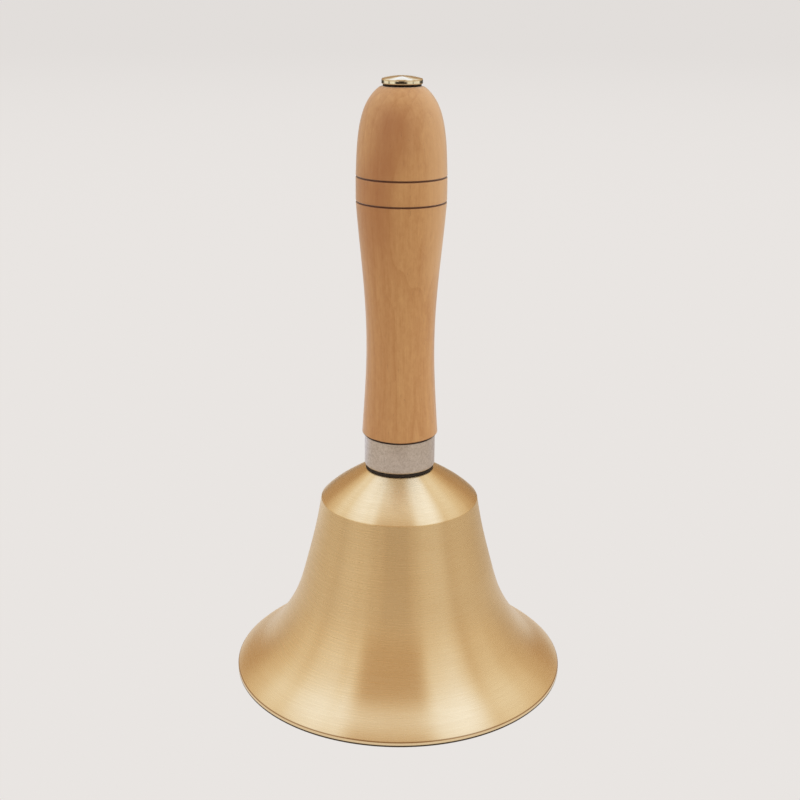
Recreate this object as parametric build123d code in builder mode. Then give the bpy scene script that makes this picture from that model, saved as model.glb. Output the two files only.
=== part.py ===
from build123d import *

import os
from math import cos, radians

# A brass handbell with a turned wooden handle, standing on its mouth. Millimetres.
# The origin is the centre of the mouth, on the plane that the lip rests on, and +Z runs up the handle.

# Bell
MOUTH_R = 50.0
LIP_EDGE = 1.4
LIP_RING = 2.1
LIP_ROUND = 0.3
WALL = 2.0
CREASE_R = 23.5
CREASE_Z = 55.2
CROWN_R = 10.35
CROWN_Z = 64.75
CROWN_PLATE = 2.1
CROWN_HOLE_R = 2.8
INNER_CREASE_DROP = 0.6
WAIST = [(46.8, 4.1), (42.5, 7.2), (36.3, 14.4), (31.2, 24.0), (28.3, 33.5), (25.4, 45.0)]
SHOULDER = [(19.95, 58.4), (15.1, 61.75)]

# Tie rod and the hardware on it
ROD_R = 2.5
ROD_TOP_Z = 174.2
ROD_END_CHAMFER = 0.5
CLEARANCE_R = 2.75
EYE_RING_R = 4.5
EYE_WIRE_R = 1.75
EYE_Z = 49.25
EYE_NECK_Z = 55.4

# Stack between the bell and the handle
CROWN_WASHER_R = 10.1
CROWN_WASHER_T = 1.0
FERRULE_R = 10.4
FERRULE_WALL = 0.9
FERRULE_FOOT_ROUND = 0.6
FERRULE_TOP_ROUND = 0.2
FERRULE_GAP = 0.4
FERRULE_Z = CROWN_Z + CROWN_WASHER_T
GRIP_Z = 75.6

# Stack under the crown
UNDER_CROWN_Z = CROWN_Z - CROWN_PLATE
INNER_WASHER_R = 6.0
INNER_WASHER_T = 1.0
SPRING_WASHER_R = 4.6
SPRING_WASHER_T = 1.2
SPRING_SPLIT = 0.7
SPRING_SPLIT_LEAN = 0.45
NUT_ACROSS_FLATS = 8.0
NUT_H = 4.0
NUT_CHAMFER = 0.45

# Handle
HANDLE_TOP_R = 6.0
HANDLE_TOP_Z = 175.6
GRIP_END_R = 11.15
GRIP_END_ROUND = 0.5
GRIP = [(10.5, 85.5), (9.87, 100.0), (10.42, 117.5), (12.15, 136.5)]
BAND_R = 12.8
LOWER_GROOVE_Z = 144.3
UPPER_GROOVE_Z = 151.3
GROOVE_W = 0.6
GROOVE_DEPTH = 0.4
KNOB = [(12.6, 156.0), (11.72, 165.0), (9.75, 171.2)]
HANDLE_BORE_R = 2.9
BARREL_BORE_R = 3.8

# Cap nut on top
TOP_WASHER_R = 5.3
TOP_WASHER_T = 0.6
CAP_R = 5.65
CAP_EDGE_H = 1.45
CAP_H = 2.25
CAP_DOME_R = 20.35
CAP_ROUND = 0.35
CAP_FOOT_ROUND = 0.25
CAP_SLOT_W = 1.2
CAP_SLOT_DEPTH = 0.8
BARREL_R = 3.6
BARREL_LENGTH = 10.0
BARREL_END_GAP = 0.5

# Clapper
LINK_WIRE_R = 1.0
LINK_W = 8.4
LINK_H = 9.0
LINK_CORNER_R = 2.6
HANG_GAP = 0.15
TANG_HOLE_R = 1.65
TANG_R = 3.4
TANG_T = 2.2
TANG_NECK_H = 1.2
SHANK_R = 1.6
COLLAR_R = 2.6
COLLAR_H = 1.2
COLLAR_CHAMFER = 0.4
BALL_R = 9.5
BALL_Z = 12.9
BALL_FLAT = 0.35
RIVET_R = 2.3
RIVET_H = 0.9
RIVET_SLOPE = 0.5

# Heights that follow from the above
LINK_TOP_Z = EYE_Z - EYE_RING_R + EYE_WIRE_R + LINK_WIRE_R + HANG_GAP
HINGE_Z = LINK_TOP_Z - LINK_H
TANG_Z = HINGE_Z - (TANG_HOLE_R - LINK_WIRE_R - HANG_GAP)
BALL_TOP_Z = BALL_Z + BALL_R - BALL_FLAT
BALL_BOTTOM_Z = BALL_Z - BALL_R + BALL_FLAT


def moved_inward(outer, wall):
    """The inner points of an outline, one wall in from its outer points and square to the outline there."""
    inner = []
    for before, here, after in zip(outer, outer[1:], outer[2:]):
        along = Vector(after[0] - before[0], after[1] - before[1]).normalized()
        inner.append((here[0] - wall * along.Y, here[1] + wall * along.X))
    return inner


def disc_ring(outer_r, hole_r, low_z, thickness):
    """A flat washer, as a sketch ring pushed up from its lower face."""
    with BuildPart() as ring:
        with BuildSketch(Plane.XY.offset(low_z)):
            Circle(outer_r)
            Circle(hole_r, mode=Mode.SUBTRACT)
        extrude(amount=thickness)
    return ring


def save(piece, name):
    """Labels a finished piece and writes its STEP file."""
    piece.part.label = name
    export_step(piece.part, f"parts/{name}.step")


os.makedirs("parts", exist_ok=True)

# Bell shell: lip, flared waist, crease and shoulder in one turned wall, with a flat crown plate.
lip_top = (MOUTH_R, LIP_EDGE)
crease = (CREASE_R, CREASE_Z)
crown_edge = (CROWN_R, CROWN_Z)
inner_waist = moved_inward([lip_top, *WAIST, crease], WALL)
inner_shoulder = moved_inward([crease, *SHOULDER, crown_edge], WALL)
inner_crease = (CREASE_R - WALL, CREASE_Z - INNER_CREASE_DROP)
inner_crown = (CROWN_R - WALL, UNDER_CROWN_Z)
with BuildPart() as bell_shell:
    with BuildSketch(Plane.XZ):
        with BuildLine():
            Line((MOUTH_R - LIP_RING, 0), (MOUTH_R, 0))
            Line((MOUTH_R, 0), lip_top)
            Spline(lip_top, *WAIST, crease)
            Spline(crease, *SHOULDER, crown_edge)
            Line(crown_edge, (CROWN_HOLE_R, CROWN_Z))
            Line((CROWN_HOLE_R, CROWN_Z), (CROWN_HOLE_R, UNDER_CROWN_Z))
            Line((CROWN_HOLE_R, UNDER_CROWN_Z), inner_crown)
            Spline(inner_crown, *reversed(inner_shoulder), inner_crease)
            Spline(inner_crease, *reversed(inner_waist), (MOUTH_R - LIP_RING, 0))
        make_face()
    revolve(axis=Axis.Z)
    lip_edges = bell_shell.edges().filter_by(GeomType.CIRCLE).group_by(Axis.Z)
    fillet(lip_edges[0].sort_by(SortBy.RADIUS)[-1], LIP_ROUND)
save(bell_shell, "bell_shell")

# Crown washer: dark fibre disc between the bell and the ferrule.
crown_washer = disc_ring(CROWN_WASHER_R, CLEARANCE_R, CROWN_Z, CROWN_WASHER_T)
save(crown_washer, "crown_washer")

# Ferrule: drawn steel ring around the handle's tenon, rounded at its lower edge, just short of the grip.
with BuildPart() as ferrule:
    with BuildSketch(Plane.XY.offset(FERRULE_Z)):
        Circle(FERRULE_R)
        Circle(FERRULE_R - FERRULE_WALL, mode=Mode.SUBTRACT)
    extrude(amount=GRIP_Z - FERRULE_GAP - FERRULE_Z)
    ends = ferrule.edges().filter_by(GeomType.CIRCLE).group_by(Axis.Z)
    fillet(ends[0].sort_by(SortBy.RADIUS)[-1], FERRULE_FOOT_ROUND)
    fillet(ends[-1].sort_by(SortBy.RADIUS)[-1], FERRULE_TOP_ROUND)
save(ferrule, "ferrule")

# Handle: tenon in the ferrule, waisted grip, a band between two V grooves, and a domed knob.
tenon_r = FERRULE_R - FERRULE_WALL
with BuildPart() as handle:
    with BuildSketch(Plane.XZ):
        with BuildLine():
            Line((HANDLE_BORE_R, FERRULE_Z), (tenon_r, FERRULE_Z))
            Line((tenon_r, FERRULE_Z), (tenon_r, GRIP_Z))
            Line((tenon_r, GRIP_Z), (GRIP_END_R, GRIP_Z))
            Spline((GRIP_END_R, GRIP_Z), *GRIP, (BAND_R, LOWER_GROOVE_Z))
            Line((BAND_R, LOWER_GROOVE_Z), (BAND_R, UPPER_GROOVE_Z))
            Spline((BAND_R, UPPER_GROOVE_Z), *KNOB, (HANDLE_TOP_R, HANDLE_TOP_Z))
            Line((HANDLE_TOP_R, HANDLE_TOP_Z), (HANDLE_BORE_R, HANDLE_TOP_Z))
            Line((HANDLE_BORE_R, HANDLE_TOP_Z), (HANDLE_BORE_R, FERRULE_Z))
        make_face()
        for groove_z in (LOWER_GROOVE_Z, UPPER_GROOVE_Z):
            with BuildLine():
                Polyline(
                    (BAND_R - GROOVE_DEPTH, groove_z),
                    (BAND_R + GROOVE_DEPTH, groove_z - GROOVE_W),
                    (BAND_R + GROOVE_DEPTH, groove_z + GROOVE_W),
                    close=True,
                )
            make_face(mode=Mode.SUBTRACT)
    revolve(axis=Axis.Z)
    grip_ends = handle.edges().filter_by(GeomType.CIRCLE).filter_by_position(Axis.Z, GRIP_Z, GRIP_Z)
    fillet(grip_ends.sort_by(SortBy.RADIUS)[-1], GRIP_END_ROUND)
    with BuildSketch(Plane.XY.offset(HANDLE_TOP_Z)):
        Circle(BARREL_BORE_R)
    extrude(amount=-(BARREL_LENGTH + BARREL_END_GAP), mode=Mode.SUBTRACT)
save(handle, "handle")

# Top washer and cap nut: a low slotted dome, with a barrel that takes the rod's thread.
top_washer = disc_ring(TOP_WASHER_R, BARREL_BORE_R, HANDLE_TOP_Z, TOP_WASHER_T)
save(top_washer, "top_washer")

cap_z = HANDLE_TOP_Z + TOP_WASHER_T
cap_edge_z = cap_z + CAP_EDGE_H
cap_top_z = cap_z + CAP_H
barrel_z = cap_z - BARREL_LENGTH
blind_z = ROD_TOP_Z + BARREL_END_GAP
with BuildPart() as top_nut:
    with BuildSketch(Plane.XZ):
        with BuildLine():
            Polyline(
                (0, cap_top_z),
                (0, blind_z),
                (ROD_R, blind_z),
                (ROD_R, barrel_z),
                (BARREL_R, barrel_z),
                (BARREL_R, cap_z),
                (CAP_R, cap_z),
                (CAP_R, cap_edge_z),
            )
            RadiusArc((CAP_R, cap_edge_z), (0, cap_top_z), -CAP_DOME_R)
        make_face()
    revolve(axis=Axis.Z)
    rim = top_nut.edges().filter_by(GeomType.CIRCLE).filter_by_position(Axis.Z, cap_edge_z, cap_edge_z)
    fillet(rim, CAP_ROUND)
    foot = top_nut.edges().filter_by(GeomType.CIRCLE).filter_by_position(Axis.Z, cap_z, cap_z)
    fillet(foot.sort_by(SortBy.RADIUS)[-1], CAP_FOOT_ROUND)
    with BuildSketch(Plane.XY.offset(cap_top_z)):
        Rectangle(2 * CAP_R, CAP_SLOT_W)
    extrude(amount=-CAP_SLOT_DEPTH, mode=Mode.SUBTRACT)
save(top_nut, "top_nut")

# Under the crown: flat washer, split spring washer and hexagon nut.
inner_washer = disc_ring(
    INNER_WASHER_R, CLEARANCE_R, UNDER_CROWN_Z - INNER_WASHER_T, INNER_WASHER_T
)
save(inner_washer, "inner_washer")

spring_z = UNDER_CROWN_Z - INNER_WASHER_T - SPRING_WASHER_T
split_plane = Plane(
    origin=(SPRING_WASHER_R, 0, spring_z + SPRING_WASHER_T / 2),
    x_dir=(0, 1, SPRING_SPLIT_LEAN),
    z_dir=(1, 0, 0),
)
with BuildPart() as spring_washer:
    with BuildSketch(Plane.XY.offset(spring_z)):
        Circle(SPRING_WASHER_R)
        Circle(CLEARANCE_R, mode=Mode.SUBTRACT)
    extrude(amount=SPRING_WASHER_T)
    with BuildSketch(split_plane):
        Rectangle(SPRING_SPLIT, 4 * SPRING_WASHER_T)
    extrude(amount=-SPRING_WASHER_R, mode=Mode.SUBTRACT)
save(spring_washer, "spring_washer")

nut_z = spring_z - NUT_H
nut_flat_r = NUT_ACROSS_FLATS / 2
nut_corner_r = nut_flat_r / cos(radians(30))
with BuildPart() as crown_nut:
    with BuildSketch(Plane.XY.offset(nut_z)):
        RegularPolygon(nut_flat_r, 6, major_radius=False)
    extrude(amount=NUT_H)
    with BuildSketch(Plane.XZ):
        with BuildLine():
            Polyline(
                (0, nut_z),
                (nut_flat_r, nut_z),
                (nut_corner_r, nut_z + NUT_CHAMFER),
                (nut_corner_r, nut_z + NUT_H - NUT_CHAMFER),
                (nut_flat_r, nut_z + NUT_H),
                (0, nut_z + NUT_H),
                close=True,
            )
        make_face()
    revolve(axis=Axis.Z, mode=Mode.INTERSECT)
    with BuildSketch(Plane.XY.offset(nut_z)):
        Circle(ROD_R)
    extrude(amount=NUT_H, mode=Mode.SUBTRACT)
save(crown_nut, "crown_nut")

# Eye bolt: the tie rod, with a forged neck and ring at its lower end. The ring's hole runs along Y.
eye_top_z = EYE_Z + EYE_RING_R
with BuildPart() as eye_bolt:
    with BuildSketch(Plane.XZ):
        with BuildLine():
            Polyline(
                (0, eye_top_z - EYE_WIRE_R / 2),
                (EYE_WIRE_R, eye_top_z),
                (ROD_R, EYE_NECK_Z),
                (ROD_R, ROD_TOP_Z - ROD_END_CHAMFER),
                (ROD_R - ROD_END_CHAMFER, ROD_TOP_Z),
                (0, ROD_TOP_Z),
                close=True,
            )
        make_face()
    revolve(axis=Axis.Z)
    with BuildSketch(Plane.YZ):
        with Locations((0, eye_top_z)):
            Circle(EYE_WIRE_R)
    revolve(axis=Axis((0, 0, EYE_Z), (0, 1, 0)))
save(eye_bolt, "eye_bolt")

# Clapper link: closed rectangular wire loop with round corners, hanging in the eye, in the YZ plane.
half_w = LINK_W / 2
inset = half_w - LINK_CORNER_R
side_low = HINGE_Z + LINK_CORNER_R
side_high = LINK_TOP_Z - LINK_CORNER_R
with BuildPart() as clapper_link:
    with BuildLine(Plane.YZ) as loop:
        Line((-inset, HINGE_Z), (inset, HINGE_Z))
        RadiusArc((inset, HINGE_Z), (half_w, side_low), -LINK_CORNER_R)
        Line((half_w, side_low), (half_w, side_high))
        RadiusArc((half_w, side_high), (inset, LINK_TOP_Z), -LINK_CORNER_R)
        Line((inset, LINK_TOP_Z), (-inset, LINK_TOP_Z))
        RadiusArc((-inset, LINK_TOP_Z), (-half_w, side_high), -LINK_CORNER_R)
        Line((-half_w, side_high), (-half_w, side_low))
        RadiusArc((-half_w, side_low), (-inset, HINGE_Z), -LINK_CORNER_R)
    with BuildSketch(Plane(origin=(0, -inset, HINGE_Z), x_dir=(1, 0, 0), z_dir=(0, 1, 0))):
        Circle(LINK_WIRE_R)
    sweep(path=loop.line)
save(clapper_link, "clapper_link")

# Clapper shank: round rod with a drilled flat tang, a collar above the ball and a rivet below it.
neck_z = TANG_Z - (TANG_HOLE_R + TANG_R) / 2
collar_top_z = BALL_TOP_Z + COLLAR_H
with BuildPart() as clapper_shank:
    with BuildSketch(Plane.XZ.offset(-TANG_T / 2)):
        with Locations((0, TANG_Z)):
            Circle(TANG_R)
    extrude(amount=TANG_T)
    with BuildSketch(Plane.XZ):
        with BuildLine():
            Polyline(
                (0, neck_z),
                (TANG_T / 2, neck_z),
                (SHANK_R, TANG_Z - TANG_R - TANG_NECK_H),
                (SHANK_R, collar_top_z),
                (COLLAR_R - COLLAR_CHAMFER, collar_top_z),
                (COLLAR_R, collar_top_z - COLLAR_CHAMFER),
                (COLLAR_R, BALL_TOP_Z),
                (SHANK_R, BALL_TOP_Z),
                (SHANK_R, BALL_BOTTOM_Z),
                (RIVET_R, BALL_BOTTOM_Z),
                (RIVET_R - RIVET_SLOPE, BALL_BOTTOM_Z - 0.7 * RIVET_H),
                (0, BALL_BOTTOM_Z - RIVET_H),
                close=True,
            )
        make_face()
    revolve(axis=Axis.Z)
    with BuildSketch(Plane.XZ.offset(-TANG_R)):
        with Locations((0, TANG_Z)):
            Circle(TANG_HOLE_R)
    extrude(amount=2 * TANG_R, mode=Mode.SUBTRACT)
save(clapper_shank, "clapper_shank")

# Clapper ball: drilled through for the shank, with small flats under the collar and the rivet.
with BuildPart() as clapper_ball:
    with Locations((0, 0, BALL_Z)):
        Sphere(BALL_R)
    split(bisect_by=Plane.XY.offset(BALL_TOP_Z), keep=Keep.BOTTOM)
    split(bisect_by=Plane.XY.offset(BALL_BOTTOM_Z), keep=Keep.TOP)
    with BuildSketch(Plane.XY.offset(BALL_BOTTOM_Z)):
        Circle(SHANK_R)
    extrude(amount=BALL_TOP_Z - BALL_BOTTOM_Z, mode=Mode.SUBTRACT)
save(clapper_ball, "clapper_ball")
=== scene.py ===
from math import asin, cos, hypot, pi, radians, sin

import bpy
import numpy as np
from mathutils import Matrix, Vector, noise


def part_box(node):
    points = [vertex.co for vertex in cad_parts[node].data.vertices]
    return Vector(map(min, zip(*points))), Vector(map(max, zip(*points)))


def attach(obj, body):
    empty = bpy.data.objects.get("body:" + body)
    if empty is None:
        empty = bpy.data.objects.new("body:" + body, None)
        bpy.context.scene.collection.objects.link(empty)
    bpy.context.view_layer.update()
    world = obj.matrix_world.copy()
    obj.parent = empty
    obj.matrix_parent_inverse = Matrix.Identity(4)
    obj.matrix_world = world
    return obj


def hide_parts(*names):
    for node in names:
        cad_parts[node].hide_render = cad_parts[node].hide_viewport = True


# A brass handbell with a turned wooden handle, standing on its mouth.
# Outlines are lists of (radius, height) in millimetres, as in the CAD part, and MM takes them to metres.

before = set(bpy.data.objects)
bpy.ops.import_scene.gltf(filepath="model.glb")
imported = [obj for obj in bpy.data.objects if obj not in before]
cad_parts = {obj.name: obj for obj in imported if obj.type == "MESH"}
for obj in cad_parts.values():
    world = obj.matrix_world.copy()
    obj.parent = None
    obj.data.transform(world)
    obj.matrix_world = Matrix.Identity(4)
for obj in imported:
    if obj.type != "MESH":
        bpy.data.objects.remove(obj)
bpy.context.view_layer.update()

MOUTH_R = 50.0
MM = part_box("bell_shell")[1].x / MOUTH_R
SEGMENTS = 192

CREASE = (23.5, 55.2)
CROWN_EDGE = (10.35, 64.75)
LIP_TOP = (MOUTH_R, 1.4)
LIP_INSIDE = (47.9, 0.0)
WALL = 2.0
CROWN_HOLE_R = 2.8
UNDER_CROWN_Z = 62.65
WAIST = [(46.8, 4.1), (42.5, 7.2), (36.3, 14.4), (31.2, 24.0), (28.3, 33.5), (25.4, 45.0)]
SHOULDER = [(19.95, 58.4), (15.1, 61.75)]
FERRULE_Z = 65.75
FERRULE_TOP_Z = 75.2
FERRULE_R = 10.4
TENON_R = 9.5
GRIP_Z = 75.6
HINGE_Z = 38.65
HINGE_TOP_Z = 47.65

# the height of the painted brown shade line along the lip's rounded edge, and the top of the painted
# contact shadow along its lowest edge
LIP_SHADE_LINE_Z = 1.5
LIP_SHADOW_Z = 0.72


# ---------------------------------------------------------------- outlines

def end_slope(t, values, at):
    """Slope at one end of the cubic through four values."""
    return np.polyval(np.polyder(np.polyfit(t, values, len(t) - 1)), at)


def spline(knots, steps=16):
    """A smooth line through the knots, as the CAD part draws it: cubic, by chord length."""
    t = np.cumsum([0.0] + [hypot(b[0] - a[0], b[1] - a[1]) for a, b in zip(knots, knots[1:])])
    gaps = np.diff(t)
    count = len(knots)
    dense = np.concatenate([np.linspace(a, b, steps, endpoint=False) for a, b in zip(t, t[1:])] + [t[-1:]])
    columns = []
    for axis in (0, 1):
        y = np.array([k[axis] for k in knots])
        rise = np.diff(y) / gaps
        grid = np.zeros((count, count))
        pull = np.zeros(count)
        grid[0, :2] = 2 * gaps[0], gaps[0]
        pull[0] = 6 * (rise[0] - end_slope(t[:4], y[:4], t[0]))
        grid[-1, -2:] = gaps[-1], 2 * gaps[-1]
        pull[-1] = 6 * (end_slope(t[-4:], y[-4:], t[-1]) - rise[-1])
        for i in range(1, count - 1):
            grid[i, i - 1:i + 2] = gaps[i - 1], 2 * (gaps[i - 1] + gaps[i]), gaps[i]
            pull[i] = 6 * (rise[i] - rise[i - 1])
        bend = np.linalg.solve(grid, pull)
        i = np.clip(np.searchsorted(t, dense, side="right") - 1, 0, count - 2)
        h, a, b = gaps[i], t[i + 1] - dense, dense - t[i]
        columns.append(
            (bend[i] * a**3 + bend[i + 1] * b**3) / (6 * h)
            + (y[i] / h - bend[i] * h / 6) * a
            + (y[i + 1] / h - bend[i + 1] * h / 6) * b
        )
    return [(float(r), float(z)) for r, z in zip(*columns)]


def moved_inward(outer, wall):
    """The inner points of an outline, one wall in from its outer points and square to the outline there."""
    inner = []
    for before, here, after in zip(outer, outer[1:], outer[2:]):
        along = Vector((after[0] - before[0], after[1] - before[1])).normalized()
        inner.append((here[0] - wall * along.y, here[1] + wall * along.x))
    return inner


def walk(points, start, step, reach):
    """Follows the outline from points[start] for a length of reach. Returns the place and next index."""
    here = points[start]
    index = start
    left = reach
    while True:
        after = points[(index + step) % len(points)]
        run = hypot(after[0] - here[0], after[1] - here[1])
        if run > left:
            share = left / run
            there = (here[0] + (after[0] - here[0]) * share, here[1] + (after[1] - here[1]) * share)
            return there, index + step
        left -= run
        index += step
        here = after


def eased(points, corner, reach, steps=5):
    """The outline with the corner nearest to the given place rounded off over reach to each side."""
    at = min(range(len(points)), key=lambda i: hypot(points[i][0] - corner[0], points[i][1] - corner[1]))
    before, low = walk(points, at, -1, reach)
    after, high = walk(points, at, 1, reach)
    tip = points[at]
    curve = []
    for k in range(steps + 1):
        s = k / steps
        shares = ((1 - s) ** 2, 2 * s * (1 - s), s * s)
        curve.append(tuple(sum(w * p[j] for w, p in zip(shares, (before, tip, after))) for j in (0, 1)))
    count = len(points)
    kept = []
    index = high
    while (index - low) % count != 0 or index == high:
        kept.append(points[index % count])
        index += 1
        if len(kept) > count:
            break
    kept.append(points[low % count])
    if low >= 0 and high <= count - 1:
        cut = count - high
        return kept[cut:] + curve + kept[:cut]
    return curve + kept


def circle(r, count):
    """Points of a circle round the origin."""
    return [(r * cos(a), r * sin(a)) for a in np.linspace(0, 2 * pi, count, endpoint=False)]


# ---------------------------------------------------------------- meshes

def piece(name, vertices, faces, sharp=32):
    """A new smooth mesh object from vertices in millimetres, with edges kept sharp above an angle."""
    mesh = bpy.data.meshes.new(name)
    mesh.from_pydata([Vector(v) * MM for v in vertices], [], faces)
    mesh.validate()
    mesh.shade_smooth()
    mesh.set_sharp_from_angle(angle=radians(sharp))
    made = bpy.data.objects.new(name, mesh)
    bpy.context.scene.collection.objects.link(made)
    return made


def lathe_mesh(outline, closed=True, segments=SEGMENTS, shape=None):
    """Vertices and faces of an outline turned about Z. shape(angle, r, z) may move a point."""
    vertices, rings = [], []
    for r, z in outline:
        if r < 1e-6:
            rings.append([len(vertices)] * segments)
            vertices.append((0.0, 0.0, z))
            continue
        ring = []
        for k in range(segments):
            a = 2 * pi * k / segments
            rr, zz = shape(a, r, z) if shape else (r, z)
            ring.append(len(vertices))
            vertices.append((rr * cos(a), rr * sin(a), zz))
        rings.append(ring)
    faces = []
    pairs = list(zip(rings, rings[1:]))
    if closed:
        pairs.append((rings[-1], rings[0]))
    for low, high in pairs:
        for k in range(segments):
            n = (k + 1) % segments
            corners = [low[k], low[n], high[n], high[k]]
            face = [c for i, c in enumerate(corners) if c != corners[i - 1]]
            if len(face) > 2:
                faces.append(face)
    return vertices, faces


def lathe(name, outline, closed=True, segments=SEGMENTS, shape=None, sharp=32):
    """A new object from an outline turned about Z."""
    return piece(name, *lathe_mesh(outline, closed, segments, shape), sharp)


def loop_tube(path, wire_r, across, sides=32, centre_bulge=None):
    """Vertices and faces of a round wire bent into a closed flat loop. across is square to the loop."""
    vertices, faces = [], []
    count = len(path)
    for i, p in enumerate(path):
        along = (path[(i + 1) % count] - path[i - 1]).normalized()
        side = along.cross(across)
        r = wire_r * (centre_bulge(i / count) if centre_bulge else 1.0)
        for k in range(sides):
            a = 2 * pi * k / sides
            vertices.append(p + side * (r * cos(a)) + across * (r * sin(a)))
    for i in range(count):
        for k in range(sides):
            a, b = i * sides, ((i + 1) % count) * sides
            n = (k + 1) % sides
            faces.append([a + k, a + n, b + n, b + k])
    return vertices, faces


def joined(*parts):
    """Several vertex and face lists as one."""
    vertices, faces = [], []
    for more_vertices, more_faces in parts:
        base = len(vertices)
        vertices += list(more_vertices)
        faces += [[base + c for c in face] for face in more_faces]
    return vertices, faces


def settle(made):
    """Applies a piece's modifiers to its mesh."""
    evaluated = made.evaluated_get(bpy.context.evaluated_depsgraph_get())
    mesh = bpy.data.meshes.new_from_object(evaluated)
    made.modifiers.clear()
    made.data = mesh
    return made


def finish_piece(made, node_name, body, slot, *materials):
    """Gives a piece its materials, puts it on its body and hides the CAD node it stands for. The slot is
    not used.
    """
    made.data.materials.clear()
    for material in materials:
        made.data.materials.append(material)
    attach(made, body)
    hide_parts(node_name)
    return made


# ---------------------------------------------------------------- node helpers

def node(tree, kind, settings=None, **inputs):
    """A node with its settings and inputs. An input is a value, or a socket to link. i0 is the first input,
    and _ in an input's name is a space."""
    made = tree.nodes.new(kind)
    for key, value in (settings or {}).items():
        setattr(made, key, value)
    for key, value in inputs.items():
        by_number = key[0] == "i" and key[1:].isdigit()
        socket = made.inputs[int(key[1:]) if by_number else key.replace("_", " ")]
        if isinstance(value, bpy.types.NodeSocket):
            tree.links.new(value, socket)
        else:
            socket.default_value = value
    return made


def calc(tree, operation, *values):
    """A Math node."""
    inputs = {f"i{i}": value for i, value in enumerate(values)}
    return node(tree, "ShaderNodeMath", {"operation": operation}, **inputs).outputs[0]


def plus(tree, a, b):
    return calc(tree, "ADD", a, b)


def minus(tree, a, b):
    return calc(tree, "SUBTRACT", a, b)


def times(tree, a, b):
    return calc(tree, "MULTIPLY", a, b)


def squares(tree, a, b):
    """The sum of two squares."""
    return plus(tree, times(tree, a, a), times(tree, b, b))


def weighed(tree, a, a_share, b, b_share):
    """The sum of two values, each times its share."""
    return plus(tree, times(tree, a, a_share), times(tree, b, b_share))


def distance(tree, a, b):
    """How far apart two values are."""
    return calc(tree, "ABSOLUTE", minus(tree, a, b))


def bearing_from_front(tree, x, y, scale):
    """The bearing of a direction, times scale. The front, -Y, gives 0.5."""
    return calc(tree, "MULTIPLY_ADD", calc(tree, "ARCTAN2", x, times(tree, y, -1.0)), scale, 0.5)


def span(tree, value, low, high, to_low=0.0, to_high=1.0, smooth=False):
    """A value's place between low and high, clamped, and mapped to to_low and to_high."""
    kind = "SMOOTHSTEP" if smooth else "LINEAR"
    return node(
        tree, "ShaderNodeMapRange", {"interpolation_type": kind, "clamp": True},
        i0=value, i1=low, i2=high, i3=to_low, i4=to_high,
    ).outputs[0]


def blend(tree, share, low, high, kind="MIX"):
    """A mix of two colours."""
    made = node(tree, "ShaderNodeMix", {"data_type": "RGBA", "blend_type": kind}, i0=share)
    for socket, value in ((made.inputs[6], low), (made.inputs[7], high)):
        if isinstance(value, bpy.types.NodeSocket):
            tree.links.new(value, socket)
        else:
            socket.default_value = (*value, 1.0)
    return made.outputs[2]


def steps(tree, value, stops, kind="EASE"):
    """A ramp: stops are (place from 0 to 1, grey level or colour)."""
    ramp = node(tree, "ShaderNodeValToRGB", i0=value)
    band = ramp.color_ramp
    band.interpolation = kind
    while len(band.elements) < len(stops):
        band.elements.new(1.0)
    for element, (at, level) in zip(band.elements, stops):
        element.position = at
        element.color = (*level, 1.0) if isinstance(level, tuple) else (level, level, level, 1.0)
    return ramp.outputs[0]


def grain(tree, vector, scale, detail=3.0, rough=0.55, warp=0.0):
    """Noise from 0 to 1 with its mean near 0.5."""
    return node(
        tree, "ShaderNodeTexNoise", {"noise_dimensions": "3D"},
        Vector=vector, Scale=scale, Detail=detail, Roughness=rough, Distortion=warp,
    ).outputs[0]


def vector(tree, x, y, z):
    """A vector from three values."""
    return node(tree, "ShaderNodeCombineXYZ", i0=x, i1=y, i2=z).outputs[0]


def place(tree):
    """The surface point in millimetres: the vector, x, y, z, and the radius from the turning axis."""
    at = node(tree, "ShaderNodeTexCoord").outputs["Object"]
    scaled = node(tree, "ShaderNodeVectorMath", {"operation": "SCALE"}, i0=at, Scale=1 / MM).outputs[0]
    parts = node(tree, "ShaderNodeSeparateXYZ", i0=scaled).outputs
    radius = calc(tree, "SQRT", calc(tree, "MAXIMUM", squares(tree, parts[0], parts[1]), 1e-6))
    return scaled, parts[0], parts[1], parts[2], radius


def round_the_axis(tree, x, y, radius, along, turns, pitch):
    """Coordinates for marks that run round the axis: turns sets how short they are, pitch how close."""
    return vector(
        tree,
        times(tree, calc(tree, "DIVIDE", x, radius), turns),
        times(tree, calc(tree, "DIVIDE", y, radius), turns),
        times(tree, along, pitch),
    )


def bump(tree, height, depth, base=None):
    """A bump whose height from 0 to 1 is depth millimetres."""
    inputs = {"Height": height, "Distance": depth * MM, "Strength": 1.0}
    if base is not None:
        inputs["Normal"] = base
    return node(tree, "ShaderNodeBump", **inputs).outputs[0]


def surface(name, **inputs):
    """A new material with a Principled surface. Returns the material, its tree and its shader."""
    material = bpy.data.materials.new(name)
    material.use_nodes = True
    tree = material.node_tree
    tree.nodes.clear()
    shader = node(tree, "ShaderNodeBsdfPrincipled", **inputs)
    node(tree, "ShaderNodeOutputMaterial", i0=shader.outputs[0])
    return material, tree, shader


def feed(tree, shader, **sockets):
    """Links sockets to a shader's inputs by name."""
    for key, socket in sockets.items():
        tree.links.new(socket, shader.inputs[key.replace("_", " ")])


# ---------------------------------------------------------------- materials

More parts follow.
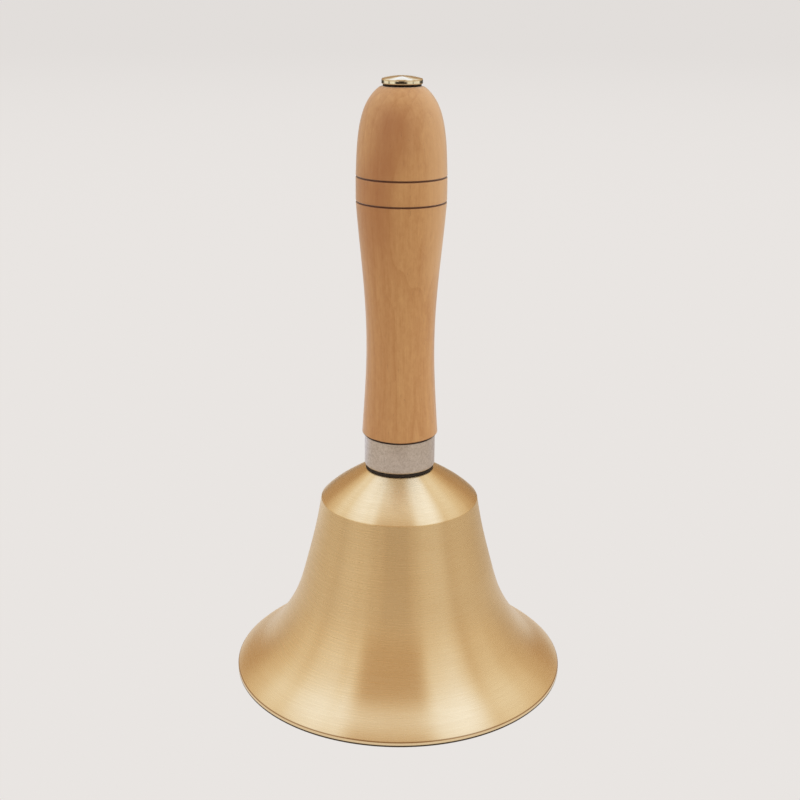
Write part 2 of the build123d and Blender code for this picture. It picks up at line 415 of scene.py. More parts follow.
def turned_brass(name, bright, dull, rough, ring_depth, anisotropic):
    """Turned brass: fine rings and brush strokes round the axis, faint clouds of tarnish, and on the lip's
    outside a painted brown shade line along its rounded edge and a painted contact shadow along its lowest
    edge."""
    material, tree, shader = surface(
        name, Metallic=1.0, Anisotropic=anisotropic, Anisotropic_Rotation=0.25,
    )
    point, x, y, z, radius = place(tree)
    along = minus(tree, radius, z)
    wide = grain(tree, round_the_axis(tree, x, y, radius, along, 1.3, 0.55), 1.0, 2.0)
    fine = grain(tree, round_the_axis(tree, x, y, radius, along, 3.0, 3.2), 1.0, 4.0, 0.65)
    hair = grain(tree, round_the_axis(tree, x, y, radius, along, 9.0, 14.0), 1.0, 2.0, 0.6)
    cloud = grain(tree, point, 0.06, 4.0, 0.6)
    tone = weighed(tree, wide, 0.45, cloud, 0.55)
    colour = blend(tree, span(tree, tone, 0.3, 0.7), dull, bright)
    marks = weighed(tree, fine, 0.6, hair, 0.4)
    strokes = grain(tree, round_the_axis(tree, x, y, radius, along, 5.0, 3.0), 1.0, 3.0, 0.6)
    colour = blend(tree, span(tree, strokes, 0.36, 0.64, 0.0, 0.13), colour, (0.66, 0.46, 0.25))
    outside = span(tree, radius, MOUTH_R - 0.45, MOUTH_R - 0.25)
    # painted shade: a brown line round the lip's outside, along its rounded edge
    painted_edge_shade = times(tree, span(tree, distance(tree, z, LIP_SHADE_LINE_Z), 0.20, 0.08), outside)
    colour = blend(tree, times(tree, painted_edge_shade, 0.75), colour, (0.26, 0.11, 0.035))
    # painted contact shadow: the lip's outside goes near black along its lowest edge, where it stands on
    # the floor
    painted_contact_shadow = times(tree, span(tree, z, LIP_SHADOW_Z, LIP_SHADOW_Z - 0.16), outside)
    colour = blend(tree, times(tree, painted_contact_shadow, 0.96), colour, (0.03, 0.016, 0.008))
    gloss = span(tree, marks, 0.3, 0.7, rough - 0.05, rough + 0.05)
    gloss = plus(tree, gloss, span(tree, strokes, 0.3, 0.7, -0.012, 0.012))
    tangent = node(tree, "ShaderNodeTangent", {"direction_type": "RADIAL", "axis": "Z"}).outputs[0]
    relief = bump(tree, marks, ring_depth)
    feed(tree, shader, Base_Color=colour, Roughness=gloss, Normal=relief, Tangent=tangent)
    return material


def steel(name, bright, dull, rough, blotch, speck_depth, turned=0.0):
    """Plated or plain steel: soft blotches, tiny pits, and rings where it was turned."""
    material, tree, shader = surface(name, Metallic=1.0)
    point, x, y, z, radius = place(tree)
    soft = grain(tree, point, blotch, 4.0, 0.6)
    specks = grain(tree, point, 2.6, 3.0, 0.7)
    rings = grain(tree, round_the_axis(tree, x, y, radius, z, 2.0, 5.0), 1.0, 3.0)
    tone = weighed(tree, soft, 0.6, specks, 0.4)
    colour = blend(tree, span(tree, tone, 0.36, 0.64), dull, bright)
    relief = weighed(tree, specks, 1 - turned, rings, turned)
    gloss = span(tree, tone, 0.3, 0.7, rough + 0.07, rough - 0.07)
    feed(tree, shader, Base_Color=colour, Roughness=gloss, Normal=bump(tree, relief, speck_depth))
    return material


def fibre(name):
    """Pressed dark fibre: matt, with short pale fibres in it."""
    material, tree, shader = surface(name, Metallic=0.0, IOR=1.45)
    _, x, y, z, radius = place(tree)
    strands = grain(tree, round_the_axis(tree, x, y, radius, z, 14.0, 3.5), 1.0, 3.0, 0.7)
    colour = blend(tree, span(tree, strands, 0.45, 0.72), (0.012, 0.008, 0.007), (0.05, 0.033, 0.027))
    gloss = span(tree, strands, 0.3, 0.7, 0.6, 0.85)
    feed(tree, shader, Base_Color=colour, Roughness=gloss, Normal=bump(tree, strands, 0.08))
    return material


def painted_joint_shadow(name):
    """Painted shadow on the wood where the handle meets the ferrule: near black, matt and blotched."""
    material, tree, shader = surface(name, Metallic=0.0, IOR=1.45, Specular_IOR_Level=0.2)
    _, x, y, z, radius = place(tree)
    shade_blotch = grain(tree, round_the_axis(tree, x, y, radius, z, 9.0, 4.0), 1.0, 3.0, 0.6)
    colour = blend(tree, span(tree, shade_blotch, 0.4, 0.7), (0.022, 0.012, 0.009), (0.09, 0.045, 0.026))
    gloss = span(tree, shade_blotch, 0.3, 0.7, 0.55, 0.8)
    feed(tree, shader, Base_Color=colour, Roughness=gloss, Normal=bump(tree, shade_blotch, 0.03))
    return material


def turned_wood(name, grooves):
    """Pale close-grained hardwood: growth rings about an axis off to one side, fine fibres, pore flecks,
    a redder streak in front, a lighter right side that is partly painted light, painted shade in the
    grooves and a painted shadow at the lowest end by the ferrule."""
    material, tree, shader = surface(
        name, Metallic=0.0, IOR=1.47, Specular_IOR_Level=0.45, Sheen_Weight=0.5, Sheen_Roughness=0.4,
    )
    _, x, y, z, radius = place(tree)

    def stretched(across, length, shift=0.0):
        """Coordinates for marks drawn out along the handle."""
        return vector(
            tree,
            times(tree, plus(tree, x, shift), across),
            times(tree, y, across),
            times(tree, z, length),
        )

    sway = times(tree, minus(tree, grain(tree, stretched(0.10, 0.016), 1.0, 2.0), 0.5), 9.0)
    dx = plus(tree, plus(tree, x, 31.0), times(tree, z, 0.045))
    dy = minus(tree, y, 47.0)
    off_axis = calc(tree, "SQRT", squares(tree, dx, dy))
    ring = calc(tree, "FRACT", times(tree, plus(tree, off_axis, sway), 0.36))
    late = calc(tree, "POWER", ring, 3.0)
    fibre_lines = grain(tree, stretched(3.2, 0.10), 1.0, 4.0, 0.65)
    silk = grain(tree, stretched(0.85, 0.045, 7.0), 1.0, 3.0, 0.6, 0.3)
    figure = grain(tree, stretched(0.16, 0.05, 21.0), 1.0, 2.0, 0.5, 0.4)
    flecks = grain(tree, stretched(3.4, 0.55, 3.0), 1.0, 2.0, 0.6)
    mottle = grain(tree, stretched(0.75, 0.42, 11.0), 1.0, 4.0, 0.72)

    # the redder streak runs along the handle, left of the middle as seen from -Y
    aside = calc(tree, "DIVIDE", x, radius)
    lean = calc(tree, "ABSOLUTE", plus(tree, aside, span(tree, z, 150.0, 160.0, 0.60, 0.22)))
    streak = span(tree, lean, 0.72, 0.08, smooth=True)
    for share in (
        span(tree, y, 2.0, -6.0, smooth=True),
        span(tree, z, 175.0, 166.0, smooth=True),
        span(tree, z, 118.0, 146.0, 0.30, 1.0, smooth=True),
    ):
        streak = times(tree, streak, share)
    red = times(tree, streak, span(tree, figure, 0.25, 0.7, 0.6, 1.0))

    pale, mid, deep = (0.665, 0.375, 0.155), (0.53, 0.255, 0.092), (0.40, 0.15, 0.05)
    threads = weighed(tree, silk, 0.34, fibre_lines, 0.22)
    tone = plus(tree, threads, weighed(tree, late, 0.10, mottle, 0.42))
    colour = blend(tree, span(tree, tone, 0.30, 0.66), pale, mid)
    colour = blend(tree, times(tree, red, 0.75), colour, deep)
    # a lighter right side: partly the wood's own paler tone, partly painted light falling from the right
    right_tone_and_light = times(tree, span(tree, aside, 0.45, 0.9), span(tree, z, 112.0, 130.0, smooth=True))
    colour = blend(tree, times(tree, right_tone_and_light, 0.6), colour, (0.72, 0.455, 0.235))
    colour = blend(tree, span(tree, flecks, 0.66, 0.78, 0.0, 0.45), colour, (0.22, 0.10, 0.045))

    # painted shadow: the wood goes near black at its lowest edge over the ferrule and next to the collar,
    # and painted shade darkens each groove
    over_joint = calc(tree, "MULTIPLY_ADD", calc(tree, "ABSOLUTE", aside), -0.24, z)
    joint_edge_shadow = span(tree, over_joint, GRIP_Z + 0.40, GRIP_Z + 0.08)
    dark = calc(tree, "MAXIMUM", joint_edge_shadow, span(tree, radius, TENON_R + 0.7, TENON_R + 0.2))
    dark = times(tree, dark, span(tree, z, GRIP_Z + 2.0, GRIP_Z + 1.0))
    for groove_z, half in grooves:
        away = distance(tree, z, groove_z)
        dark = calc(tree, "MAXIMUM", dark, span(tree, away, half + 0.05, half - 0.13))
    colour = blend(tree, times(tree, dark, 0.93), colour, (0.11, 0.032, 0.010))

    height = minus(tree, times(tree, fibre_lines, 0.6), span(tree, flecks, 0.64, 0.78))
    gloss = span(tree, silk, 0.3, 0.7, 0.40, 0.52)
    feed(tree, shader, Base_Color=colour, Roughness=gloss, Normal=bump(tree, height, 0.035))
    return material


brass_outside = turned_brass("brass_outside", (0.90, 0.715, 0.45), (0.865, 0.67, 0.405), 0.28, 0.003, 0.9)
brass_inside = turned_brass("brass_inside", (0.70, 0.53, 0.31), (0.52, 0.37, 0.20), 0.46, 0.05, 0.6)
ferrule_steel = steel("ferrule_steel", (0.82, 0.79, 0.83), (0.60, 0.57, 0.585), 0.36, 1.3, 0.02)
washer_steel = steel("washer_steel", (0.34, 0.33, 0.32), (0.22, 0.21, 0.20), 0.36, 0.6, 0.01)
zinc_steel = steel("zinc_steel", (0.66, 0.66, 0.67), (0.50, 0.51, 0.54), 0.28, 0.5, 0.01)
link_wire = steel("link_wire", (0.60, 0.59, 0.57), (0.44, 0.43, 0.41), 0.26, 0.8, 0.008)
clapper_steel = steel("clapper_steel", (0.50, 0.49, 0.47), (0.30, 0.29, 0.27), 0.34, 0.35, 0.03, 0.4)
cap_nickel = steel("cap_nickel", (0.85, 0.77, 0.62), (0.78, 0.69, 0.54), 0.10, 0.3, 0.002)
black_steel = steel("black_steel", (0.035, 0.03, 0.028), (0.015, 0.013, 0.012), 0.42, 0.6, 0.01)
fibre_dark = fibre("fibre_dark")


# ---------------------------------------------------------------- bell

def make_bell():
    """One turned wall from the lip over waist, crease and shoulder to the crown plate."""
    inner_waist = moved_inward([LIP_TOP, *WAIST, CREASE], WALL)
    inner_shoulder = moved_inward([CREASE, *SHOULDER, CROWN_EDGE], WALL)
    inner_crease = (CREASE[0] - WALL, CREASE[1] - 0.6)
    inner_crown = (CROWN_EDGE[0] - WALL, UNDER_CROWN_Z)
    outside = [(MOUTH_R, 0.0)] + spline([LIP_TOP, *WAIST, CREASE])
    outside += spline([CREASE, *SHOULDER, CROWN_EDGE])[1:]
    crown = [(CROWN_HOLE_R, CROWN_EDGE[1]), (CROWN_HOLE_R, UNDER_CROWN_Z)]
    inside = spline([inner_crown, *reversed(inner_shoulder), inner_crease])
    inside += spline([inner_crease, *reversed(inner_waist), LIP_INSIDE])[1:]
    outline = outside + crown + inside
    for corner, reach in (
        ((MOUTH_R, 0.0), 0.35), (LIP_TOP, 0.22), (CREASE, 0.2), (CROWN_EDGE, 0.3),
        (inner_crease, 0.8), (LIP_INSIDE, 0.3),
    ):
        outline = eased(outline, corner, reach)
    made = lathe("brass_bell", outline, sharp=50)
    finish_piece(made, "bell_shell", "root", "bell_brass", brass_outside, brass_inside)
    for polygon in made.data.polygons:
        middle = polygon.center / MM
        outward = polygon.normal.x * middle.x + polygon.normal.y * middle.y
        if outward < 0 or (middle.z < UNDER_CROWN_Z + 0.1 and polygon.normal.z < -0.9 and middle.z > 1):
            polygon.material_index = 1
    return made


make_bell()


# ---------------------------------------------------------------- crown washer and ferrule

def make_washer(name, node_name, hole_r, ease, slot, material):
    """A flat washer with eased edges, between its node's lowest and highest corners."""
    low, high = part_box(node_name)
    outer = high.x / MM
    z0, z1 = low.z / MM, high.z / MM
    corners = [(hole_r, z0), (outer, z0), (outer, z1), (hole_r, z1)]
    outline = corners
    for corner in corners:
        outline = eased(outline, corner, ease, 3)
    return finish_piece(lathe(name, outline), node_name, "root", slot, material)


make_washer("crown_fibre", "crown_washer", 2.75, 0.22, "fibre_washer", fibre_dark)


def make_ferrule():
    """A plain ring round the tenon, with its lower edge rounded."""
    outer = [(FERRULE_R, FERRULE_Z), (FERRULE_R, FERRULE_TOP_Z)]
    outline = [(TENON_R, FERRULE_Z), *outer, (TENON_R, FERRULE_TOP_Z)]
    outline = eased(outline, outer[0], 0.75, 7)
    outline = eased(outline, outer[1], 0.22, 3)
    return finish_piece(lathe("ferrule_ring", outline), "ferrule", "root", "ferrule_steel", ferrule_steel)


make_ferrule()


# ---------------------------------------------------------------- handle

GROOVES = ((144.3, 0.31), (151.3, 0.31))
GROOVE_DEPTH = 0.45
BAND_R = 12.8
GRIP_END = (11.15, GRIP_Z)
GRIP = [(10.5, 85.5), (9.87, 100.0), (10.42, 117.5), (12.15, 136.5)]
KNOB = [(12.6, 156.0), (11.72, 165.0), (9.75, 171.2)]
HANDLE_TOP = (6.0, 175.6)
BARREL_BORE_Z = 165.1
BARREL_BORE_R = 3.8
ROD_BORE_R = 2.9

# a dark collar of wood fills most of the gap between the ferrule and the wood, a painted shadow where the
# gap is in shade
SHADOW_COLLAR_R = 10.28

# how far up the grip its lower edge wanders
UNEVEN_TO_Z = GRIP_Z + 1.2


def grooved(points, groove_z, half, depth):
    """Cuts a V into a run of points that pass the groove on the way up."""
    below = [p for p in points if p[1] < groove_z - half - 0.05]
    above = [p for p in points if p[1] > groove_z + half + 0.05]
    cut = []
    for share, rise in ((0.0, -half), (0.75, -0.11), (1.0, 0.0), (0.75, 0.11), (0.0, half)):
        cut.append((BAND_R - share * depth, groove_z + rise))
    return below + cut + above


def make_handle():
    """The grip, band and knob, with the tenon for the ferrule below and the bore for the rod inside."""
    lower = spline([GRIP_END, *GRIP, (BAND_R, GROOVES[0][0])])
    upper = spline([(BAND_R, GROOVES[1][0]), *KNOB, HANDLE_TOP])
    side = lower + [(BAND_R, z) for z in (145.5, 147.0, 148.5, 150.0)] + upper
    for groove_z, half in GROOVES:
        side = grooved(side, groove_z, half, GROOVE_DEPTH)
    bore = [(BARREL_BORE_R, HANDLE_TOP[1]), (BARREL_BORE_R, BARREL_BORE_Z)]
    bore += [(ROD_BORE_R, BARREL_BORE_Z), (ROD_BORE_R, FERRULE_Z)]
    collar_z = FERRULE_TOP_Z + 0.03
    tenon = [(TENON_R, FERRULE_Z), (TENON_R, collar_z), (SHADOW_COLLAR_R, collar_z), (SHADOW_COLLAR_R, GRIP_Z)]
    outline = tenon + side + bore
    for groove_z, half in GROOVES:
        for edge in (-half, half):
            outline = eased(outline, (BAND_R, groove_z + edge), 0.12, 3)
    outline = eased(outline, GRIP_END, 0.5, 6)
    outline = eased(outline, HANDLE_TOP, 0.8, 6)

    def uneven(a, r, z):
        """The shoulder over the ferrule was cut by hand, so its edge wanders a little."""
        if r < FERRULE_R or z > UNEVEN_TO_Z:
            return r, z
        share = (UNEVEN_TO_Z - z) / (UNEVEN_TO_Z - GRIP_Z)
        wander = noise.noise(Vector((2.2 * cos(a), 2.2 * sin(a), 0.3)))
        return r, z + share * (0.02 + 0.12 * max(wander, -0.15) + 0.22 * abs(cos(a)))

    made = lathe("wooden_handle", outline, shape=uneven, sharp=50)
    wood = turned_wood("handle_wood", GROOVES)
    finish_piece(made, "handle", "root", "handle_wood", wood, painted_joint_shadow("painted_joint_shadow"))
    # faces at the grip's lowest edge and on the collar take the painted joint shadow, reaching higher at
    # the sides
    for polygon in made.data.polygons:
        middle = polygon.center / MM
        off_axis = hypot(middle.x, middle.y)
        joint_z = GRIP_Z + 0.12 + 0.36 * abs(middle.x) / off_axis
        if middle.z < joint_z and off_axis > TENON_R - 0.1:
            polygon.material_index = 1
    return made


make_handle()


# ---------------------------------------------------------------- cap nut and its washer

make_washer("cap_washer", "top_washer", 3.8, 0.12, "washer_steel", black_steel)


def make_cap():
    """A low polished dome with a screwdriver slot, on a barrel that goes down into the handle."""
    low_z, edge_z, top_z = 176.2, 177.65, 178.45
    cap_r, dome_r, barrel_r, barrel_z, rod_r, blind_z = 5.65, 20.35, 3.6, 166.2, 2.5, 174.7
    centre_z = top_z - dome_r
    dome = [(dome_r * sin(a), centre_z + dome_r * cos(a)) for a in np.linspace(0, asin(cap_r / dome_r), 24)]
    outline = [(0, blind_z), (rod_r, blind_z), (rod_r, barrel_z), (barrel_r, barrel_z), (barrel_r, low_z)]
    outline += [(cap_r, low_z)] + list(reversed(dome))
    outline = [(float(r), float(z)) for r, z in outline]
    outline = eased(outline, (cap_r, edge_z), 0.42, 9)
    outline = eased(outline, (cap_r, low_z), 0.3, 7)
    made = lathe("cap_nut", outline, closed=False)
    slot_reach, slot_half, slot_depth = 7, 0.6, 0.8
    low = (-slot_reach, -slot_half, top_z - slot_depth)
    high = (slot_reach, slot_half, top_z + 2)
    blade = piece("slot_cutter", *box_mesh(low, high))
    cut = made.modifiers.new("slot", "BOOLEAN")
    cut.operation = "DIFFERENCE"
    cut.solver = "EXACT"
    cut.object = blade
    settle(made)
    bpy.data.objects.remove(blade)
    return finish_piece(made, "top_nut", "root", "cap_nickel", cap_nickel)


def box_mesh(low, high):
    """Vertices and faces of a box between two corners."""
    vertices = [(x, y, z) for x in (low[0], high[0]) for y in (low[1], high[1]) for z in (low[2], high[2])]
    faces = [[0, 1, 3, 2], [4, 6, 7, 5], [0, 4, 5, 1], [2, 3, 7, 6], [0, 2, 6, 4], [1, 5, 7, 3]]
    return vertices, faces


make_cap()


# ---------------------------------------------------------------- hardware under the crown

make_washer("crown_washer_steel", "inner_washer", 2.75, 0.15, "washer_steel", washer_steel)


def make_spring_washer():
    """A square-section lock washer, split on a slant."""
    low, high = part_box("spring_washer")
    z0, z1 = low.z / MM, high.z / MM
    inner, outer, ease, gap, lean = 2.75, 4.6, 0.12, 0.7, 0.45
    section = [(inner, z0), (outer, z0), (outer, z1), (inner, z1)]
    for corner in list(section):
        section = eased(section, corner, ease, 3)
    middle = (z0 + z1) / 2
    stations = 97
    vertices, faces = [], []
    for k in range(stations):
        share = k / (stations - 1)
        for r, z in section:
            shift = (gap / 2 + 0.02) / r
            slant = lean * (middle - z) / r
            a = shift + slant + share * (2 * pi - 2 * shift)
            vertices.append((r * cos(a), r * sin(a), z))
    count = len(section)
    for k in range(stations - 1):
        for i in range(count):
            n = (i + 1) % count
            a, b = k * count, (k + 1) * count
            faces.append([a + i, b + i, b + n, a + n])
    faces.append(list(range(count)))
    faces.append(list(reversed(range((stations - 1) * count, stations * count))))
    made = piece("lock_washer", vertices, faces)
    return finish_piece(made, "spring_washer", "root", "washer_steel", washer_steel)


make_spring_washer()


def make_crown_nut():
    """A chamfered hexagon nut with a threaded hole."""
    low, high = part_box("crown_nut")
    z0, z1 = low.z / MM, high.z / MM
    flat_r = 4.0
    corner_r = flat_r / cos(radians(30))
    chamfer = 0.45
    hole_r = 2.5
    first_corner = 0.0 if high.x / MM > 4.3 else radians(30)
    rises = [k * chamfer / 6 for k in range(7)]
    outline = [(hole_r, z0 + 0.25), (hole_r + 0.25, z0)]
    outline += [(flat_r + (corner_r - flat_r) * rise / chamfer, z0 + rise) for rise in rises]
    outline += [(flat_r + (corner_r - flat_r) * rise / chamfer, z1 - rise) for rise in reversed(rises)]
    outline += [(hole_r + 0.25, z1), (hole_r, z1 - 0.25)]

    def hexagon(a, r, z):
        """Holds the nut's outside to its six flats."""
        turn = (a - first_corner) % radians(60) - radians(30)
        return (min(r, flat_r / cos(turn)) if r > 3.5 else r), z

    made = lathe("hex_nut", outline, shape=hexagon, segments=180, sharp=20)
    return finish_piece(made, "crown_nut", "root", "zinc_steel", zinc_steel)


make_crown_nut()


def make_eye_bolt():
    """The tie rod: a forged ring at the bottom, a neck, and a rod that is threaded where the nut runs."""
    eye_z, ring_r, wire_r, neck_z, rod_r, top_z = 49.25, 4.5, 1.75, 55.4, 2.5, 174.2
    path = [Vector((x, 0, eye_z + z)) for x, z in circle(ring_r, 96)]
    ring = piece("eye_forging", *loop_tube(path, wire_r, Vector((0, 1, 0)), 40))
    eye_top = eye_z + ring_r
    neck_outline = [(0, eye_top - 0.9), (wire_r, eye_top), (rod_r, neck_z)]
    neck_outline += [(rod_r, neck_z + 1.2), (0, neck_z + 1.2)]
    neck = piece("eye_neck", *lathe_mesh(neck_outline, False, 64))
    fuse = ring.modifiers.new("fuse", "BOOLEAN")
    fuse.operation = "UNION"
    fuse.solver = "EXACT"
    fuse.object = neck
    settle(ring)
    bpy.data.objects.remove(neck)
    cells = ring.modifiers.new("cells", "REMESH")
    cells.mode = "VOXEL"
    cells.voxel_size = 0.13 * MM
    relax = ring.modifiers.new("relax", "SMOOTH")
    relax.factor = 0.5
    relax.iterations = 6
    settle(ring)

    pitch = 0.8
    thread_low, thread_high = neck_z + 0.3, 66.0
    heights = list(np.arange(thread_low, thread_high, pitch / 8))
    outline = [(0, neck_z + 0.1), (rod_r - 0.35, neck_z + 0.1)]
    outline += [(rod_r, float(z)) for z in heights]
    outline += [(rod_r, top_z - 0.5), (rod_r - 0.5, top_z), (0, top_z)]

    def threaded(a, r, z):
        """Cuts the thread into the points between its two ends."""
        if not thread_low - 0.01 <= z <= thread_high or r < rod_r - 0.1:
            return r, z
        turn = (z / pitch - a / (2 * pi)) % 1.0
        return r - 0.42 * (1 - abs(2 * turn - 1)), z

    rod_vertices, rod_faces = lathe_mesh(outline, False, 72, threaded)
    forging = [v.co / MM for v in ring.data.vertices], [list(p.vertices) for p in ring.data.polygons]
    bpy.data.objects.remove(ring)
    made = piece("eye_rod", *joined(forging, (rod_vertices, rod_faces)))
    return finish_piece(made, "eye_bolt", "root", "zinc_steel", zinc_steel)


make_eye_bolt()


# ---------------------------------------------------------------- clapper

def make_link():
    """A closed loop of round wire, bent round four corners, with a butt seam in one side."""
    half_w, corner_r = 4.2, 2.6
    inset = half_w - corner_r
    path = []
    for centre_y, centre_z, start in (
        (inset, HINGE_Z + corner_r, -90), (inset, HINGE_TOP_Z - corner_r, 0),
        (-inset, HINGE_TOP_Z - corner_r, 90), (-inset, HINGE_Z + corner_r, 180),
    ):
        for k in range(13):
            a = radians(start + 90 * k / 12)
            path.append(Vector((0, centre_y + corner_r * cos(a), centre_z + corner_r * sin(a))))
    seam_z = (HINGE_Z + HINGE_TOP_Z) / 2
    seam = [Vector((0, half_w, seam_z + d)) for d in (-0.5, -0.09, -0.03, 0.03, 0.09, 0.5)]
    path = path[:13] + seam + path[13:]
    notch = {15: 0.93, 16: 0.93}

    def pinch(share):
        """The wire is a little thinner at its butt seam."""
        return notch.get(round(share * len(path)), 1.0)

    made = piece("wire_link", *loop_tube(path, 1.0, Vector((1, 0, 0)), 32, pinch))
    return finish_piece(made, "clapper_link", "link", "link_wire", link_wire)


make_link()


def make_shank():
    """The clapper's rod: a drilled flat tang, a collar over the ball and a riveted end under it."""
    tang_z, tang_r, tang_t, hole_r = 38.15, 3.4, 2.2, 1.65
    shank_r, ball_top, ball_bottom = 1.6, 22.05, 3.75
    neck_z = tang_z - (hole_r + tang_r) / 2
    half_t = tang_t / 2
    sides = 72

    def ring_of(r, y):
        """A ring of points round the tang's hole, in a plane across Y."""
        return [(x, y, tang_z + z) for x, z in circle(r, sides)]

    soft = 0.18
    levels = []
    for y, grow in ((-half_t, -soft), (-half_t + soft, 0.0), (half_t - soft, 0.0), (half_t, -soft)):
        levels.append((ring_of(tang_r + grow, y), ring_of(hole_r - grow, y)))
    vertices, faces = [], []
    rings = [level[0] for level in levels] + [level[1] for level in reversed(levels)]
    for ring in rings:
        vertices += ring
    for i in range(len(rings)):
        a, b = i * sides, ((i + 1) % len(rings)) * sides
        for k in range(sides):
            n = (k + 1) % sides
            faces.append([a + k, b + k, b + n, a + n])
    rod = [(0, neck_z), (half_t, neck_z), (shank_r, tang_z - tang_r - 1.2)]
    collar = ((shank_r, 1.2), (2.2, 1.2), (2.6, 0.8), (2.6, 0), (shank_r, 0))
    rod += [(r, ball_top + rise) for r, rise in collar]
    rivet = ((shank_r, 0), (2.3, 0), (2.2, 0.3), (1.8, 0.63), (1.0, 0.83), (0, 0.9))
    rod += [(r, ball_bottom - drop) for r, drop in rivet]
    made = piece("clapper_rod", *joined((vertices, faces), lathe_mesh(rod, False, 64)), 30)
    return finish_piece(made, "clapper_shank", "clapper", "clapper_steel", clapper_steel)


make_shank()


def make_ball():
    """The clapper's ball, drilled through and flat where the collar and the rivet press on it."""
    ball_z, ball_r, flat, hole_r = 12.9, 9.5, 0.35, 1.6
    low = asin((ball_r - flat) / ball_r)
    outline = [(hole_r, ball_z - ball_r + flat)]
    for a in np.linspace(-low, low, 72):
        outline.append((float(ball_r * cos(a)), float(ball_z + ball_r * sin(a))))
    outline += [(hole_r, ball_z + ball_r - flat)]
    made = lathe("clapper_bob", outline)
    return finish_piece(made, "clapper_ball", "clapper", "clapper_steel", clapper_steel)


make_ball()


# ---------------------------------------------------------------- floor, light and camera

PALE = (0.815, 0.784, 0.761)
MIST = (0.760, 0.730, 0.708)
DARK_TABLE = (0.40, 0.28, 0.16)
CREAM = (1.0, 0.96, 0.80)

# just under the bell's lip, so that the two don't share a plane
FLOOR_Z = -0.05

# The direction of the main camera from the bell. The studio is laid out by the normal that would mirror
# each direction to that place: its bearing from the front, and its rise above level.
FRONT = (0.0, -0.9494, 0.3141)

# the camera's place in mouth radii, its angle down and its roll in degrees, and its lens in millimetres
CAMERA_BACK = 7.165
CAMERA_UP = 4.080
CAMERA_DOWN = 18.31
CAMERA_ROLL = 0.4
CAMERA_LENS = 57.65


def light_world():
    """Soft studio light: bright panels overhead to the left and right, a warm dark gap between them in
    front, and darker sides. The dark spot is whoever stands at the camera. Matt surfaces get a plain fill,
    brighter from the sides, and the camera sees a pale backdrop."""
    world = bpy.data.worlds.new("studio")
    bpy.context.scene.world = world
    world.use_nodes = True
    tree = world.node_tree
    tree.nodes.clear()
    way = node(tree, "ShaderNodeTexCoord").outputs["Generated"]
    both = node(tree, "ShaderNodeVectorMath", {"operation": "ADD"}, i0=way, i1=FRONT).outputs[0]
    half = node(tree, "ShaderNodeVectorMath", {"operation": "NORMALIZE"}, i0=both).outputs[0]
    x, y, z = node(tree, "ShaderNodeSeparateXYZ", i0=half).outputs
    bearing = bearing_from_front(tree, x, y, 1 / pi)
    rise = calc(tree, "MULTIPLY_ADD", calc(tree, "ARCSINE", z), 1 / pi, 0.5)

    def by(value, stops):
        """A ramp over degrees."""
        return steps(tree, value, [(0.5 + degrees / 180, level) for degrees, level in stops])

    panels = by(rise, [(-14, 0.84), (0, 0.63), (12, 0.60), (22, 0.65), (36, 0.81), (48, 0.90)])
    gap = by(rise, [(-14, 0.84), (0, 0.65), (12, 0.62), (22, 0.42), (34, 0.41), (44, 0.66), (56, 0.84)])
    flanks = by(rise, [(-14, 0.60), (0, 0.54), (14, 0.48), (60, 0.38)])
    in_gap = by(bearing, [(-22, 0.0), (-14, 1.0), (8, 1.0), (16, 0.0)])
    in_flank = by(bearing, [
        (-72, 1.0), (-60, 0.55), (-50, 0.24), (-40, 0.10), (-30, 0.0), (30, 0.0), (36, 0.22), (46, 0.28),
        (56, 0.42), (66, 0.72), (76, 1.0),
    ])
    streaks = by(bearing, [
        (-49, 1.0), (-44, 0.90), (-39, 0.99), (-33, 1.0), (-28, 1.0), (-25, 0.93), (-21, 1.0), (18, 1.0),
        (26, 1.05), (31, 0.97), (36, 0.87), (41, 0.98), (47, 1.0), (52, 0.95),
    ])
    level = blend(tree, in_gap, panels, gap)
    level = blend(tree, in_flank, level, flanks)
    level = blend(tree, 1.0, level, streaks, "MULTIPLY")
    watcher_across = by(bearing, [(-12, 0.0), (-8, 1.0), (5, 1.0), (9, 0.0)])
    watcher_up = by(rise, [(0, 0.0), (3, 1.0), (9, 1.0), (12, 0.0)])
    level = blend(tree, times(tree, watcher_across, watcher_up), level, (0.04, 0.04, 0.04))
    colour = steps(tree, level, [
        (0.04, (0.03, 0.02, 0.015)), (0.42, (0.53, 0.355, 0.20)), (0.55, (0.665, 0.52, 0.345)),
        (0.60, (0.74, 0.61, 0.44)), (0.68, (0.84, 0.77, 0.64)), (0.75, (0.91, 0.89, 0.83)),
        (0.86, (1.03, 1.13, 1.32)), (1.0, (1.20, 1.38, 1.76)),
    ], "LINEAR")
    paths = node(tree, "ShaderNodeLightPath").outputs
    way_x, _, way_z = node(tree, "ShaderNodeSeparateXYZ", i0=way).outputs
    base = calc(tree, "MULTIPLY_ADD", way_x, 0.12, 0.55)
    sides = calc(tree, "MULTIPLY_ADD", calc(tree, "ABSOLUTE", way_x), 0.75, base)
    power = times(tree, sides, span(tree, way_z, -0.1, 0.5, 1.0, 1.25))
    warm = (1.0, 0.985, 0.97)
    fill = node(tree, "ShaderNodeVectorMath", {"operation": "SCALE"}, i0=warm, Scale=power).outputs[0]
    out = blend(tree, paths["Is Diffuse Ray"], colour, fill)
    out = blend(tree, paths["Is Camera Ray"], out, MIST)
    shine = node(tree, "ShaderNodeBackground", Color=out, Strength=1.0).outputs[0]
    node(tree, "ShaderNodeOutputWorld", i0=shine)


light_world()


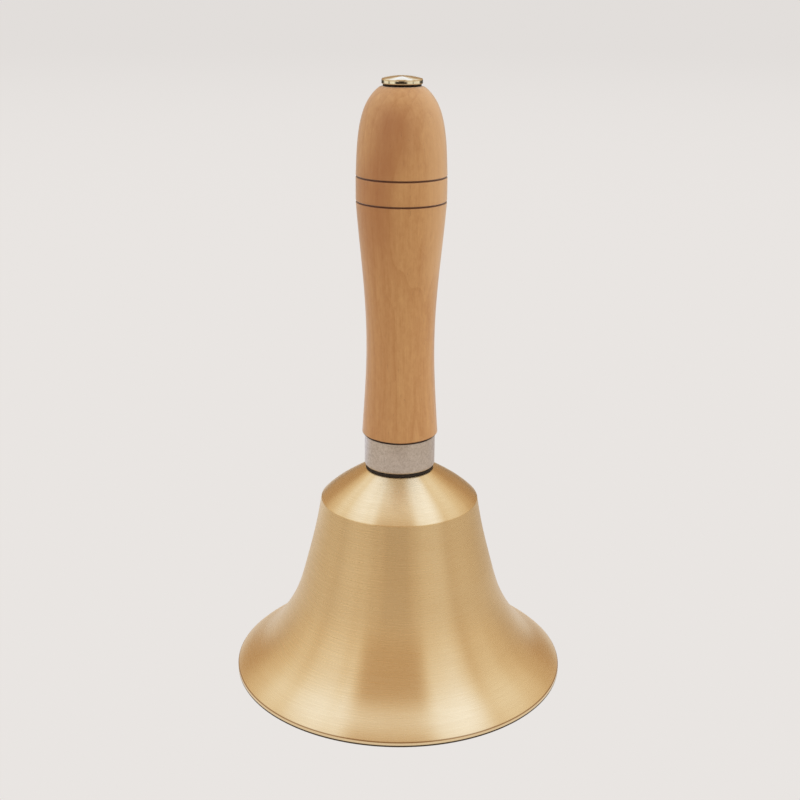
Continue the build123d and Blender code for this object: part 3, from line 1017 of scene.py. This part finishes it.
def lay_floor():
    """A wide pale floor that glows as the backdrop does, clear from below so that the mouth can be seen
    into. All but the camera see a table that darkens outward, a backdrop behind the bell and, far out, a
    cream room in bright and dark stretches."""
    rings, segments = [0.0, 60.0, 120.0, 250.0, 600.0, 1500.0, 4000.0], 96
    outline = [(r, FLOOR_Z) for r in rings]
    floor = piece("floor", *lathe_mesh(outline, False, segments))
    floor.data.flip_normals()
    material = bpy.data.materials.new("floor_pale")
    material.use_nodes = True
    tree = material.node_tree
    tree.nodes.clear()
    _, x, y, _, radius = place(tree)
    far = span(tree, radius, 400.0, 3800.0, smooth=True)
    colour = blend(tree, far, PALE, MIST)
    away = span(tree, radius, 60.0, 140.0, smooth=True)
    behind = span(tree, y, 60.0, 220.0, smooth=True)
    table = blend(tree, away, PALE, (0.60, 0.50, 0.38))
    across = span(tree, x, -120.0, 120.0, smooth=True)
    backdrop = blend(tree, across, (0.90, 0.90, 0.92), (0.62, 0.56, 0.50))
    reflected = blend(tree, behind, table, backdrop)
    reflected = blend(tree, span(tree, radius, 280.0, 620.0, smooth=True), reflected, DARK_TABLE)
    turn = bearing_from_front(tree, x, y, 0.5 / pi)
    room = steps(tree, turn, [(0.5 + degrees / 360, level) for degrees, level in (
        (-130, 0.08), (-112, 0.95), (-86, 0.95), (-81, 0.3), (-76, 0.3), (-70, 0.95), (-46, 0.95),
        (-34, 0.02), (22, 0.02), (34, 0.95), (58, 0.9), (64, 0.3), (69, 0.9), (106, 0.95), (122, 0.08),
    )])
    room = blend(tree, 1.0, room, CREAM, "MULTIPLY")
    reflected = blend(tree, span(tree, radius, 900.0, 1300.0, smooth=True), reflected, room)
    seen = node(tree, "ShaderNodeLightPath").outputs["Is Camera Ray"]
    glow = node(tree, "ShaderNodeEmission", Color=blend(tree, seen, reflected, colour)).outputs[0]
    clear = node(tree, "ShaderNodeBsdfTransparent").outputs[0]
    back = node(tree, "ShaderNodeNewGeometry").outputs["Backfacing"]
    mixed = node(tree, "ShaderNodeMixShader", i0=back, i1=glow, i2=clear).outputs[0]
    node(tree, "ShaderNodeOutputMaterial", i0=mixed)
    floor.data.materials.append(material)


lay_floor()


def set_camera():
    """The view from the front, 18 degrees down, with a trace of roll."""
    reach = MOUTH_R * MM
    data = bpy.data.cameras.new("camera")
    data.lens = CAMERA_LENS
    data.sensor_width = 36.0
    camera = bpy.data.objects.new("camera", data)
    bpy.context.scene.collection.objects.link(camera)
    camera.matrix_world = (
        Matrix.Translation((0, -CAMERA_BACK * reach, CAMERA_UP * reach))
        @ Matrix.Rotation(radians(90 - CAMERA_DOWN), 4, "X")
        @ Matrix.Rotation(radians(CAMERA_ROLL), 4, "Z")
    )
    bpy.context.scene.camera = camera


set_camera()
bpy.context.scene.view_settings.view_transform = "Standard"
